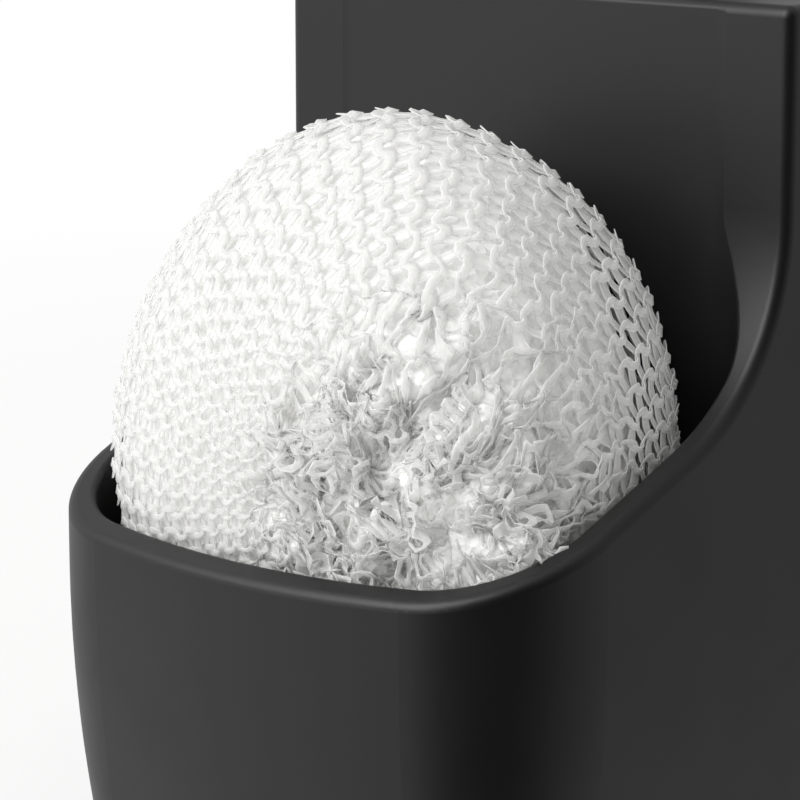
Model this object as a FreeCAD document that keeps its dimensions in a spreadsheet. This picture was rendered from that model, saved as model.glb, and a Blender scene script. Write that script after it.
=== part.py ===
"""Soap pump caddy: a glazed ceramic bottle with a scrubber pocket in front and a pump in its mouth.

The frame has +Z up and -Y to the front. Its origin is on the counter, under the middle of the body.
"""
import FreeCAD, Part
import math
import os

import Sketcher
from FreeCAD import Vector

# Driving dimensions in millimetres, angles in degrees
SIZES = {
    # Ceramic body
    "body_width": 88.0,
    "body_depth": 108.0,
    "body_height": 117.0,
    "wall": 3.8,
    "floor_thickness": 7.0,
    "roof_thickness": 6.0,
    "front_bow": 178.0,
    "corner_radius": 20.0,
    "foot_inset": 3.4,
    "taper_height": 40.0,
    "foot_round": 4.0,
    "rim_height": 45.8,
    "rim_slope": 22.0,
    "sweep_radius": 30.5,
    "wing_depth": 0.15,
    "bottle_depth": 49.6,
    "cove_radius": 8.0,
    "rim_round": 1.6,
    "rim_edge": 0.7,
    "pocket_round": 8.0,
    "recess_depth": 1.0,
    "recess_edge": 1.5,
    "recess_corner": 8.0,
    "overcut": 8.0,
    # Soft feet
    "pad_diameter": 11.0,
    "pad_thickness": 1.5,
    "pad_setback": 18.0,
    # Neck and collar
    "mouth_diameter": 28.4,
    "glue_gap": 0.2,
    "ring_flange": 1.5,
    "ring_flange_width": 2.6,
    "ring_depth": 9.0,
    "ring_bore": 24.6,
    "neck_diameter": 27.4,
    "neck_height": 11.0,
    "thread_gap": 0.2,
    "liner_wall": 1.6,
    "liner_web": 1.5,
    "shell_wall": 0.8,
    "collar_gap": 0.3,
    "collar_round": 1.2,
    "gasket_thickness": 1.2,
    "flange_setback": 0.3,
    # Pump barrel and plunger
    "bore_diameter": 13.4,
    "barrel_wall": 1.2,
    "barrel_flange": 1.6,
    "guide_flange": 1.6,
    "guide_flange_width": 2.4,
    "guide_boss": 2.1,
    "guide_boss_wall": 1.4,
    "guide_nose": 4.5,
    "stroke": 16.0,
    "stem_diameter": 8.0,
    "stem_bore": 4.0,
    "port_diameter": 2.0,
    "sleeve_wall": 1.1,
    "sleeve_overlap": 2.5,
    "press_gap": 0.03,
    "running_gap": 0.08,
    "stop_gap": 0.2,
    "travel_gap": 1.0,
    "piston_length": 9.0,
    "piston_waist": 1.2,
    "piston_lip": 2.0,
    "plug_shaft": 3.0,
    "plug_flange": 1.5,
    "plug_flange_width": 1.6,
    "spring_length": 26.0,
    "spring_diameter": 9.8,
    "spring_turns": 8.0,
    "wire_diameter": 0.9,
    "ball_diameter": 5.0,
    "ball_gap": 0.8,
    "ball_rest_gap": 0.05,
    "chamber_depth": 7.0,
    "inlet_diameter": 3.0,
    "inlet_web": 1.0,
    "socket_depth": 10.0,
    "socket_wall": 1.3,
    "tube_diameter": 7.0,
    "tube_wall": 0.8,
    "tube_gap": 3.0,
    # Pump head
    "head_diameter": 18.0,
    "head_height": 16.0,
    "head_wall": 1.2,
    "head_round": 2.5,
    "core_setback": 0.8,
    "stem_socket": 6.0,
    "sleeve_socket": 2.0,
    "spout_diameter": 7.6,
    "spout_bore": 3.8,
    "spout_level": 9.0,
    "spout_root": 5.4,
    "spout_reach": 36.0,
    "spout_bend": 9.0,
    "spout_droop": 50.0,
    "spout_tip": 3.0,
    # Scrubber
    "pad_height": 93.0,
    "pad_side_gap": 0.4,
    "pad_wall_gap": 0.4,
    "pad_front_gap": 0.6,
    "pad_clearance": 0.3,
    "pad_angle": 41.0,
    "cup_radius": 14.0,
    "cup_depth": 3.0,
    "tie_diameter": 2.6,
    "knot_diameter": 4.8,
    "knot_length": 1.4,
}

doc = FreeCAD.newDocument("soap_pump_caddy")
sheet = doc.addObject("Spreadsheet::Sheet", "Sizes")
for row, (alias, number) in enumerate(SIZES.items(), start=1):
    sheet.set(f"A{row}", alias.replace("_", " "))
    sheet.set(f"B{row}", str(number))
    sheet.setAlias(f"B{row}", alias)
doc.recompute()

# Heights and places that several pieces share, from the counter up
HALF_WIDTH = "(Sizes.body_width / 2)"
HALF_DEPTH = "(Sizes.body_depth / 2)"
BASE = "Sizes.pad_thickness"
FLOOR = f"({BASE} + Sizes.floor_thickness)"
TOP = "Sizes.body_height"
ROOF = f"({TOP} - Sizes.roof_thickness)"
FACE = f"({HALF_DEPTH} - Sizes.bottle_depth)"
WING = f"({FACE} - Sizes.wing_depth)"
AXIS = "((Sizes.body_depth - Sizes.bottle_depth) / 2)"
RING_TOP = f"({TOP} + Sizes.ring_flange)"
NECK_TOP = f"({RING_TOP} + Sizes.neck_height)"
GASKET_TOP = f"({NECK_TOP} + Sizes.gasket_thickness)"
FLANGE_TOP = f"({GASKET_TOP} + Sizes.barrel_flange)"
GUIDE_TOP = f"({FLANGE_TOP} + Sizes.guide_flange)"
BOSS_TOP = f"({GUIDE_TOP} + Sizes.guide_boss)"
WEB_BASE = f"({FLANGE_TOP} + Sizes.running_gap)"
WEB_TOP = f"({WEB_BASE} + Sizes.liner_web)"
SLEEVE_END = f"({BOSS_TOP} - Sizes.sleeve_overlap)"
NOSE_TOP = f"({SLEEVE_END} - Sizes.stroke - Sizes.travel_gap)"
GUIDE_END = f"({NOSE_TOP} - Sizes.guide_nose)"
PISTON_TOP = f"({GUIDE_END} - Sizes.stop_gap)"
PISTON_END = f"({PISTON_TOP} - Sizes.piston_length)"
PLUG_TOP = f"({PISTON_END} - Sizes.stop_gap)"
PLUG_END = f"({PLUG_TOP} - Sizes.plug_flange)"
SEAT = f"({PLUG_END} - Sizes.spring_length)"
CHAMBER_FLOOR = f"({SEAT} - Sizes.chamber_depth)"
HEAD_BASE = f"({BOSS_TOP} + Sizes.stroke + Sizes.travel_gap)"
HEAD_TOP = f"({HEAD_BASE} + Sizes.head_height)"
CORE_BASE = f"({HEAD_BASE} + Sizes.core_setback)"
CORE_TOP = f"({HEAD_TOP} - Sizes.head_wall)"
STEM_TOP = f"({CORE_BASE} + Sizes.stem_socket)"
SPOUT = f"({HEAD_BASE} + Sizes.spout_level)"

# Radii that several pump pieces share
NECK = "(Sizes.neck_diameter / 2)"
LINER_IN = f"({NECK} + Sizes.thread_gap)"
LINER_OUT = f"({LINER_IN} + Sizes.liner_wall)"
SHELL_OUT = f"({LINER_OUT} + Sizes.shell_wall)"
DISC = f"({NECK} - Sizes.flange_setback)"
BORE = "(Sizes.bore_diameter / 2)"
BARREL = f"({BORE} + Sizes.barrel_wall)"
STEM = "(Sizes.stem_diameter / 2)"
SLEEVE = f"({STEM} + Sizes.press_gap + Sizes.sleeve_wall)"
GUIDE_BORE = f"({SLEEVE} + Sizes.running_gap)"
GUIDE_RIM = f"({BORE} + Sizes.guide_flange_width)"
CHAMBER = "(Sizes.ball_diameter / 2 + Sizes.ball_gap)"
INLET = "(Sizes.inlet_diameter / 2)"
INLET_TOP = f"({CHAMBER_FLOOR} - ({CHAMBER} - {INLET}))"
SOCKET_TOP = f"({INLET_TOP} - Sizes.inlet_web)"
SOCKET_END = f"({SOCKET_TOP} - Sizes.socket_depth)"
SOCKET = "(Sizes.tube_diameter / 2 + Sizes.press_gap)"
SOCKET_OUT = f"({SOCKET} + Sizes.socket_wall)"
HEAD = "(Sizes.head_diameter / 2)"
CORE = f"({HEAD} - Sizes.head_wall - Sizes.press_gap)"
CHANNEL = "(Sizes.spout_bore / 2)"
SPOUT_HOLE = "(Sizes.spout_diameter / 2 + Sizes.press_gap)"

# The soft scrubber takes the pocket's width and depth
PAD_ACROSS = "(Sizes.body_width - 2 * Sizes.wall - 2 * Sizes.pad_side_gap)"
PAD_THROUGH = f"({FACE} + {HALF_DEPTH} - Sizes.wall - Sizes.pad_wall_gap - Sizes.pad_front_gap)"
# Share of the bun's radius that is flat at its front and back
PAD_FLAT_SHARE = 0.3


def value(expression):
    """Number that an expression over the sheet gives."""
    return float(sheet.evalExpression(expression))


def new_body(label, on_pump_axis=False):
    """Empty body, standing on the pump's axis where that is asked."""
    body = doc.addObject("PartDesign::Body", label)
    body.Label = label
    if on_pump_axis:
        body.setExpression("Placement.Base.y", AXIS)
    return body


def new_sketch(body, name, role, lift=None):
    """Sketch on one of the body's origin planes, lifted along the plane's normal."""
    sketch = body.newObject("Sketcher::SketchObject", name)
    plane = next(feature for feature in body.Origin.OriginFeatures if feature.Role == role)
    sketch.AttachmentSupport = [(plane, "")]
    sketch.MapMode = "FlatFace"
    if lift:
        sketch.setExpression("AttachmentOffset.Base.z", lift)
    return sketch


def bind(sketch, kind, where, expression):
    """Dimension of a sketch, tied to an expression over the sheet."""
    number = value(expression)
    if kind == "Angle":
        number = math.radians(number)
        expression = f"{expression} * 1 deg"
    index = sketch.addConstraint(Sketcher.Constraint(kind, *where, number))
    sketch.setExpression(f"Constraints[{index}]", expression)


def join_ends(sketch, kinds):
    """Chain of edges: each joint is Coincident or Tangent, the last one closes the chain."""
    for index, kind in enumerate(kinds):
        sketch.addConstraint(Sketcher.Constraint(kind, index, 2, (index + 1) % len(kinds), 1))


def draw_polygon(sketch, corners):
    """Closed outline whose corners are pinned to pairs of expressions."""
    points = [Vector(value(across), value(along), 0) for across, along in corners]
    count = len(points)
    for index in range(count):
        sketch.addGeometry(Part.LineSegment(points[index], points[(index + 1) % count]))
    join_ends(sketch, ["Coincident"] * count)
    for index, (across, along) in enumerate(corners):
        bind(sketch, "DistanceX", (index, 1), across)
        bind(sketch, "DistanceY", (index, 1), along)


def draw_circle(sketch, across, along, radius):
    """Circle with its centre and radius pinned to expressions."""
    centre = Vector(value(across), value(along), 0)
    index = sketch.addGeometry(Part.Circle(centre, Vector(0, 0, 1), value(radius)))
    bind(sketch, "Radius", (index,), radius)
    for kind, axis, place in (("DistanceX", -2, across), ("DistanceY", -1, along)):
        if place == "0":
            sketch.addConstraint(Sketcher.Constraint("PointOnObject", index, 3, axis))
        else:
            bind(sketch, kind, (index, 3), place)


def draw_plan(sketch, half_width, front, back, front_corner, back_corner, bow=None):
    """Plan with straight sides, rounded corners and a front that is straight or bowed outwards."""
    up = Vector(0, 0, 1)
    across = value(half_width)
    near, far = value(front), value(back)
    front_round, back_round = value(front_corner), value(back_corner)
    corner_x = across - front_round
    if bow:
        bow_round = value(bow)
        bow_centre = Vector(0, near + bow_round, 0)
        corner_y = bow_centre.y - math.sqrt((bow_round - front_round) ** 2 - corner_x ** 2)
        lean = math.atan2(corner_y - bow_centre.y, corner_x)
        front_edge = Part.ArcOfCircle(Part.Circle(bow_centre, up, bow_round), -math.pi - lean, lean)
    else:
        corner_y = near + front_round
        lean = -math.pi / 2
        front_edge = Part.LineSegment(Vector(-corner_x, near, 0), Vector(corner_x, near, 0))
    back_x, back_y = across - back_round, far - back_round

    def corner(centre_x, centre_y, radius, start, end):
        return Part.ArcOfCircle(Part.Circle(Vector(centre_x, centre_y, 0), up, radius), start, end)

    sketch.addGeometry([
        front_edge,
        corner(corner_x, corner_y, front_round, lean, 0),
        Part.LineSegment(Vector(across, corner_y, 0), Vector(across, back_y, 0)),
        corner(back_x, back_y, back_round, 0, math.pi / 2),
        Part.LineSegment(Vector(back_x, far, 0), Vector(-back_x, far, 0)),
        corner(-back_x, back_y, back_round, math.pi / 2, math.pi),
        Part.LineSegment(Vector(-across, back_y, 0), Vector(-across, corner_y, 0)),
        corner(-corner_x, corner_y, front_round, math.pi, math.pi - lean),
    ])
    join_ends(sketch, ["Tangent"] * 8)
    for side in (2, 6):
        sketch.addConstraint(Sketcher.Constraint("Vertical", side))
    sketch.addConstraint(Sketcher.Constraint("Horizontal", 4))
    bind(sketch, "DistanceX", (2, 1), half_width)
    bind(sketch, "DistanceX", (6, 1), f"-{half_width}")
    bind(sketch, "DistanceY", (4, 1), back)
    for edge, radius in ((1, front_corner), (7, front_corner), (3, back_corner), (5, back_corner)):
        bind(sketch, "Radius", (edge,), radius)
    if bow:
        sketch.addConstraint(Sketcher.Constraint("PointOnObject", 0, 3, -2))
        bind(sketch, "Radius", (0,), bow)
        bind(sketch, "DistanceY", (0, 3), f"{front} + {bow}")
    else:
        sketch.addConstraint(Sketcher.Constraint("Horizontal", 0))
        bind(sketch, "DistanceY", (0, 1), front)


def pad(body, name, sketch, length):
    """Extrusion along the sketch's normal."""
    feature = body.newObject("PartDesign::Pad", name)
    feature.Profile = sketch
    feature.setExpression("Length", length)
    doc.recompute()
    return feature


def cut(body, name, sketch, length=None, along_normal=False, both_ways=False):
    """Pocket of a given length, or through everything, that must take something away."""
    before = body.Shape.Volume
    feature = body.newObject("PartDesign::Pocket", name)
    feature.Profile = sketch
    feature.Reversed = along_normal
    if length:
        feature.setExpression("Length", length)
    else:
        feature.Type = "ThroughAll"
    if both_ways:
        feature.Midplane = True
    doc.recompute()
    if not body.Shape.Volume < before:
        raise RuntimeError(f"{name} cuts nothing")
    return feature


def round_edges(body, name, edges, radius):
    """Fillet on the listed edges of the body's last feature."""
    if not edges:
        raise RuntimeError(f"{name} finds no edge")
    base = body.Tip
    feature = body.newObject("PartDesign::Fillet", name)
    feature.Base = (base, edges)
    feature.setExpression("Radius", radius)
    doc.recompute()
    return feature


def edges_at(body, level, beyond=0.0):
    """Names of the edges that lie flat at one height, further than a given radius from the body's axis."""
    names = []
    for index, edge in enumerate(body.Shape.Edges, start=1):
        box = edge.BoundBox
        local = edge.CenterOfMass - body.Placement.Base
        reach = max(box.XLength / 2, math.hypot(local.x, local.y))
        if abs(box.ZMin - level) < 1e-4 and abs(box.ZMax - level) < 1e-4 and reach > beyond:
            names.append(f"Edge{index}")
    return names


def turn(body, name, corners):
    """Solid of revolution about the body's upright axis, from corners given as radius and height."""
    sketch = new_sketch(body, f"{name}_profile", "XZ_Plane")
    draw_polygon(sketch, corners)
    feature = body.newObject("PartDesign::Revolution", name)
    feature.Profile = sketch
    feature.ReferenceAxis = (sketch, ["V_Axis"])
    feature.Angle = 360
    doc.recompute()
    return feature


def turned_piece(label, corners):
    """Body on the pump's axis that is one solid of revolution."""
    body = new_body(label, on_pump_axis=True)
    turn(body, f"{label}_turn", corners)
    return body


def draw_sweep(sketch):
    """Side profile of what is cut away above the rim: sloped run, hollow arc, upright wing edge."""
    slope = math.radians(value("Sizes.rim_slope"))
    radius = value("Sizes.sweep_radius")
    start_y = f"-({HALF_DEPTH} + Sizes.overcut)"
    start_z = "Sizes.rim_height - Sizes.overcut * tan(Sizes.rim_slope * 1 deg)"
    high = f"{TOP} + Sizes.overcut"
    start = Vector(value(start_y), value(start_z), 0)
    wing, ceiling = value(WING), value(high)
    centre_y = wing - radius
    run_y = centre_y + radius * math.sin(slope)
    run_z = start.y + (run_y - start.x) * math.tan(slope)
    centre = Vector(centre_y, run_z + radius * math.cos(slope), 0)
    hollow = Part.Circle(centre, Vector(0, 0, 1), radius)
    sketch.addGeometry([
        Part.LineSegment(start, Vector(run_y, run_z, 0)),
        Part.ArcOfCircle(hollow, slope - math.pi / 2, 0),
        Part.LineSegment(Vector(wing, centre.y, 0), Vector(wing, ceiling, 0)),
        Part.LineSegment(Vector(wing, ceiling, 0), Vector(start.x, ceiling, 0)),
        Part.LineSegment(Vector(start.x, ceiling, 0), start),
    ])
    join_ends(sketch, ["Tangent", "Tangent", "Coincident", "Coincident", "Coincident"])
    sketch.addConstraint(Sketcher.Constraint("Vertical", 2))
    sketch.addConstraint(Sketcher.Constraint("Horizontal", 3))
    sketch.addConstraint(Sketcher.Constraint("Vertical", 4))
    bind(sketch, "Angle", (0,), "Sizes.rim_slope")
    bind(sketch, "Radius", (1,), "Sizes.sweep_radius")
    bind(sketch, "DistanceX", (2, 1), WING)
    bind(sketch, "DistanceY", (3, 1), high)
    bind(sketch, "DistanceX", (0, 1), start_y)
    bind(sketch, "DistanceY", (0, 1), start_z)


def rim_edges(shape):
    """Sharp edges of the faces that the sweep left, and of the bottle's top."""
    wing, floor = value(WING), value(FLOOR)

    def on_rim(face):
        middle = face.CenterOfMass
        if isinstance(face.Surface, Part.Cylinder):
            return abs(face.Surface.Axis.x) > 0.99
        if not isinstance(face.Surface, Part.Plane):
            return False
        normal = face.normalAt(0, 0)
        faces_front = normal.y < -0.99 and abs(middle.y - wing) < 1e-4
        faces_up = abs(normal.x) < 1e-6 and normal.z > 0.5 and middle.z > floor + 1
        return faces_front or faces_up

    def is_sharp(edge, faces):
        point = edge.valueAt((edge.FirstParameter + edge.LastParameter) / 2)
        normals = [face.normalAt(*face.Surface.parameter(point)) for face in faces]
        return len(normals) == 2 and normals[0].getAngle(normals[1]) > 0.1

    rim_faces = [face for face in shape.Faces if on_rim(face)]
    names = []
    for index, edge in enumerate(shape.Edges, start=1):
        if any(edge.isSame(other) for face in rim_faces for other in face.Edges):
            neighbours = [face for face in shape.Faces if any(edge.isSame(other) for other in face.Edges)]
            if is_sharp(edge, neighbours):
                names.append(f"Edge{index}")
    return names


def make_caddy_body():
    """Slip-cast body: tapered foot, bottle, scrubber pocket, reservoir and mouth."""
    body = new_body("caddy_body")
    insets = (
        ("foot", "Sizes.foot_inset", BASE),
        ("middle", "Sizes.foot_inset / 4", f"({BASE} + Sizes.taper_height) / 2"),
        ("shoulder", "0", "Sizes.taper_height"),
    )
    plans = []
    for name, inset, level in insets:
        sketch = new_sketch(body, f"{name}_plan", "XY_Plane", level)
        corner = f"(Sizes.corner_radius - {inset})"
        draw_plan(sketch, f"({HALF_WIDTH} - {inset})", f"(-{HALF_DEPTH} + {inset})",
                  f"({HALF_DEPTH} - {inset})", corner, corner, f"(Sizes.front_bow - {inset})")
        plans.append(sketch)
    doc.recompute()
    tub = body.newObject("PartDesign::AdditiveLoft", "tapered_foot")
    tub.Profile = plans[0]
    tub.Sections = plans[1:]
    doc.recompute()
    pad(body, "upper_body", plans[-1], f"{TOP} - Sizes.taper_height")
    round_edges(body, "foot_rounding", edges_at(body, value(BASE)), "Sizes.foot_round")

    sweep = new_sketch(body, "sweep_profile", "YZ_Plane")
    draw_sweep(sweep)
    cut(body, "rim_sweep", sweep, both_ways=True)
    round_edges(body, "rim_rounding", rim_edges(body.Shape), "min(Sizes.rim_round; Sizes.wall * 0.46)")

    pocket = new_sketch(body, "pocket_plan", "XY_Plane", TOP)
    draw_plan(pocket, f"({HALF_WIDTH} - Sizes.wall)", f"(-{HALF_DEPTH} + Sizes.wall)", FACE,
              "(Sizes.corner_radius - Sizes.wall)", "Sizes.cove_radius", "(Sizes.front_bow - Sizes.wall)")
    cut(body, "scrubber_pocket", pocket, f"{TOP} - {FLOOR}")
    round_edges(body, "inner_rounding", rim_edges(body.Shape), "min(Sizes.rim_edge; Sizes.wall * 0.2)")
    round_edges(body, "pocket_rounding", edges_at(body, value(FLOOR)), "Sizes.pocket_round")

    reservoir = new_sketch(body, "reservoir_plan", "XY_Plane", ROOF)
    draw_plan(reservoir, f"({HALF_WIDTH} - Sizes.wall)", f"({FACE} + Sizes.wall)",
              f"({HALF_DEPTH} - Sizes.wall)", "Sizes.cove_radius", "(Sizes.corner_radius - Sizes.wall)")
    cut(body, "reservoir", reservoir, f"{ROOF} - {FLOOR}")

    mouth = new_sketch(body, "mouth_plan", "XY_Plane", TOP)
    draw_circle(mouth, "0", AXIS, "Sizes.mouth_diameter / 2")
    cut(body, "mouth", mouth, "Sizes.roof_thickness + Sizes.wall")

    recess = new_sketch(body, "recess_plan", "XY_Plane", BASE)
    edge = "(Sizes.pad_setback + Sizes.pad_diameter / 2 + Sizes.recess_edge)"
    draw_plan(recess, f"({HALF_WIDTH} - {edge})", f"(-{HALF_DEPTH} + {edge})", f"({HALF_DEPTH} - {edge})",
              "Sizes.recess_corner", "Sizes.recess_corner")
    cut(body, "foot_recess", recess, "Sizes.recess_depth", along_normal=True)
    return body


def make_feet():
    """Four soft discs under the corners of the body."""
    feet = []
    for depth_name, depth_sign in (("front", "-"), ("rear", "")):
        for side_name, side_sign in (("left", "-"), ("right", "")):
            label = f"foot_pad_{depth_name}_{side_name}"
            foot = doc.addObject("Part::Cylinder", label)
            foot.Label = label
            foot.setExpression("Radius", "Sizes.pad_diameter / 2")
            foot.setExpression("Height", "Sizes.pad_thickness")
            foot.setExpression("Placement.Base.x", f"{side_sign}({HALF_WIDTH} - Sizes.pad_setback)")
            foot.setExpression("Placement.Base.y", f"{depth_sign}({HALF_DEPTH} - Sizes.pad_setback)")
            feet.append(foot)
    return feet


def make_neck_ring():
    """Plastic neck, glued into the ceramic mouth by its sleeve and flange."""
    sleeve = "(Sizes.mouth_diameter / 2 - Sizes.glue_gap)"
    flange = "(Sizes.mouth_diameter / 2 + Sizes.ring_flange_width)"
    bore = "(Sizes.ring_bore / 2)"
    foot = f"({TOP} - Sizes.ring_depth)"
    return turned_piece("neck_ring", [
        (bore, foot), (sleeve, foot), (sleeve, TOP), (flange, TOP), (flange, RING_TOP),
        (NECK, RING_TOP), (NECK, NECK_TOP), (bore, NECK_TOP),
    ])


def make_collar():
    """Screw collar: a plastic liner that clamps the pump flange, and the metal shell over it."""
    foot = f"({RING_TOP} + Sizes.collar_gap)"
    hole = f"({GUIDE_RIM} + Sizes.thread_gap)"
    liner = turned_piece("collar_liner", [
        (LINER_IN, foot), (LINER_OUT, foot), (LINER_OUT, WEB_TOP), (hole, WEB_TOP),
        (hole, WEB_BASE), (LINER_IN, WEB_BASE),
    ])
    shell_top = f"({WEB_TOP} + Sizes.shell_wall)"
    shell = turned_piece("collar_shell", [
        (LINER_OUT, foot), (SHELL_OUT, foot), (SHELL_OUT, shell_top), (hole, shell_top),
        (hole, WEB_TOP), (LINER_OUT, WEB_TOP),
    ])
    outer = edges_at(shell, value(shell_top), beyond=value(LINER_OUT))
    round_edges(shell, "collar_rounding", outer, "min(Sizes.collar_round; Sizes.shell_wall * 1.4)")
    return [liner, shell]


def make_gasket():
    """Flat seal between the neck and the barrel's flange."""
    inner = f"({BARREL} + Sizes.flange_setback)"
    return turned_piece("neck_gasket", [
        (inner, NECK_TOP), (DISC, NECK_TOP), (DISC, GASKET_TOP), (inner, GASKET_TOP),
    ])


def make_barrel():
    """Pump cylinder: flange, bore, spring seat, ball chamber with a cone seat, and tube socket."""
    shoulder = f"({SEAT} - Sizes.barrel_wall)"
    return turned_piece("pump_barrel", [
        (BORE, FLANGE_TOP), (DISC, FLANGE_TOP), (DISC, GASKET_TOP), (BARREL, GASKET_TOP),
        (BARREL, shoulder), (SOCKET_OUT, CHAMBER_FLOOR), (SOCKET_OUT, SOCKET_END), (SOCKET, SOCKET_END),
        (SOCKET, SOCKET_TOP), (INLET, SOCKET_TOP), (INLET, INLET_TOP), (CHAMBER, CHAMBER_FLOOR),
        (CHAMBER, SEAT), (BORE, SEAT),
    ])


def make_guide():
    """Bush that closes the barrel, guides the stem by its nose and lets the sleeve run inside."""
    outer = f"({BORE} - Sizes.press_gap)"
    nose = f"({STEM} + Sizes.running_gap)"
    boss = f"({GUIDE_BORE} + Sizes.guide_boss_wall)"
    return turned_piece("stem_guide", [
        (nose, GUIDE_END), (outer, GUIDE_END), (outer, FLANGE_TOP), (GUIDE_RIM, FLANGE_TOP),
        (GUIDE_RIM, GUIDE_TOP), (boss, GUIDE_TOP), (boss, BOSS_TOP), (GUIDE_BORE, BOSS_TOP),
        (GUIDE_BORE, NOSE_TOP), (nose, NOSE_TOP),
    ])


def make_plunger():
    """Hollow stem with side ports, its metal sleeve, the sliding piston and the plug below it."""
    bore = "(Sizes.stem_bore / 2)"
    stem = turned_piece("plunger_stem", [
        (bore, PLUG_TOP), (STEM, PLUG_TOP), (STEM, STEM_TOP), (bore, STEM_TOP),
    ])
    ports = new_sketch(stem, "port_plan", "XZ_Plane")
    draw_circle(ports, "0", f"{PLUG_TOP} + Sizes.plug_shaft + Sizes.port_diameter", "Sizes.port_diameter / 2")
    cut(stem, "ports", ports, both_ways=True)

    sleeve_in = f"({STEM} + Sizes.press_gap)"
    sleeve_top = f"({CORE_BASE} + Sizes.sleeve_socket)"
    sleeve = turned_piece("stem_sleeve", [
        (sleeve_in, SLEEVE_END), (SLEEVE, SLEEVE_END), (SLEEVE, sleeve_top), (sleeve_in, sleeve_top),
    ])

    hole = f"({STEM} + Sizes.running_gap)"
    lip = f"({BORE} - Sizes.running_gap)"
    waist = f"({lip} - Sizes.piston_waist)"
    piston = turned_piece("piston_seal", [
        (hole, PISTON_END), (lip, PISTON_END), (lip, f"{PISTON_END} + Sizes.piston_lip"),
        (waist, f"{PISTON_END} + Sizes.piston_lip * 1.5"), (waist, f"{PISTON_TOP} - Sizes.piston_lip * 1.5"),
        (lip, f"{PISTON_TOP} - Sizes.piston_lip"), (lip, PISTON_TOP), (hole, PISTON_TOP),
    ])

    shaft = f"({bore} - Sizes.press_gap)"
    flange = f"({STEM} + Sizes.plug_flange_width)"
    shaft_top = f"({PLUG_TOP} + Sizes.plug_shaft)"
    plug = new_body("piston_plug", on_pump_axis=True)
    for name, radius, low, high in (("flange", flange, PLUG_END, PLUG_TOP), ("shaft", shaft, PLUG_TOP, shaft_top)):
        sketch = new_sketch(plug, f"plug_{name}_plan", "XY_Plane", low)
        draw_circle(sketch, "0", "0", radius)
        pad(plug, f"plug_{name}", sketch, f"{high} - {low}")
    return [stem, sleeve, piston, plug]


def helix_points(radius, pitch, turns, steps_per_turn):
    """Points along an upright helix that starts at height zero."""
    count = int(turns * steps_per_turn)
    points = []
    for step in range(count + 1):
        angle = 2 * math.pi * step / steps_per_turn
        points.append(Vector(radius * math.cos(angle), radius * math.sin(angle), pitch * step / steps_per_turn))
    return points


def least_gap(points, per_turn, wire):
    """Smallest clear space between one turn of a wire and the next."""
    gaps = []
    for index, point in enumerate(points):
        for other in points[index + per_turn // 2:]:
            gaps.append(point.distanceToPoint(other) - wire)
    return min(gaps)


def make_spring():
    """Compression spring as one wire, each half turn a pair of arcs."""
    radius = value("Sizes.spring_diameter") / 2
    wire = value("Sizes.wire_diameter")
    turns = value("Sizes.spring_turns")
    end_gap = value("Sizes.stop_gap")
    length = value("Sizes.spring_length")
    pitch = (length - wire - 2 * end_gap) / turns
    arcs_per_turn = 4
    points = helix_points(radius, pitch, turns, arcs_per_turn * 2)
    arcs = [Part.Arc(*points[index:index + 3]).toShape() for index in range(0, len(points) - 1, 2)]
    path = Part.Wire(arcs)
    start = arcs[0].tangentAt(arcs[0].FirstParameter)
    section = Part.Wire(Part.Circle(points[0], start, wire / 2).toShape())
    shell = Part.BRepOffsetAPI.MakePipeShell(path)
    shell.add(section)
    shell.build()
    shell.makeSolid()
    spring = doc.addObject("Part::Feature", "return_spring")
    spring.Label = "return_spring"
    spring.Shape = shell.shape()
    spring.Placement.Base = Vector(0, value(AXIS), value(SEAT) + end_gap + wire / 2)
    steps = arcs_per_turn * 6
    print("return_spring least gap", round(least_gap(helix_points(radius, pitch, turns, steps), steps, wire), 3))
    return spring


def make_ball():
    """Inlet valve: a steel ball just over its cone seat."""
    ball = doc.addObject("Part::Sphere", "check_ball")
    ball.Label = "check_ball"
    ball.setExpression("Radius", "Sizes.ball_diameter / 2")
    ball.setExpression("Placement.Base.y", AXIS)
    rest = f"{CHAMBER_FLOOR} - {CHAMBER} + Sizes.ball_diameter / 2 * sqrt(2) + Sizes.ball_rest_gap"
    ball.setExpression("Placement.Base.z", rest)
    return ball


def make_dip_tube():
    """Tube from the barrel's socket to just over the reservoir's floor, cut slanting at its end."""
    outer = "(Sizes.tube_diameter / 2)"
    inner = f"({outer} - Sizes.tube_wall)"
    low = f"({FLOOR} + Sizes.tube_gap)"
    high = f"({SOCKET_TOP} - Sizes.stop_gap)"
    tube = turned_piece("dip_tube", [(inner, low), (outer, low), (outer, high), (inner, high)])
    slant = new_sketch(tube, "slant_profile", "YZ_Plane")
    reach = "Sizes.tube_diameter"
    draw_polygon(slant, [(f"-{reach}", low), (reach, f"{low} - Sizes.tube_gap"), (reach, f"{low} + {reach} * 1.5"),
                         (f"-{outer}", low)])
    cut(tube, "slant", slant, both_ways=True)
    return tube


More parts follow.
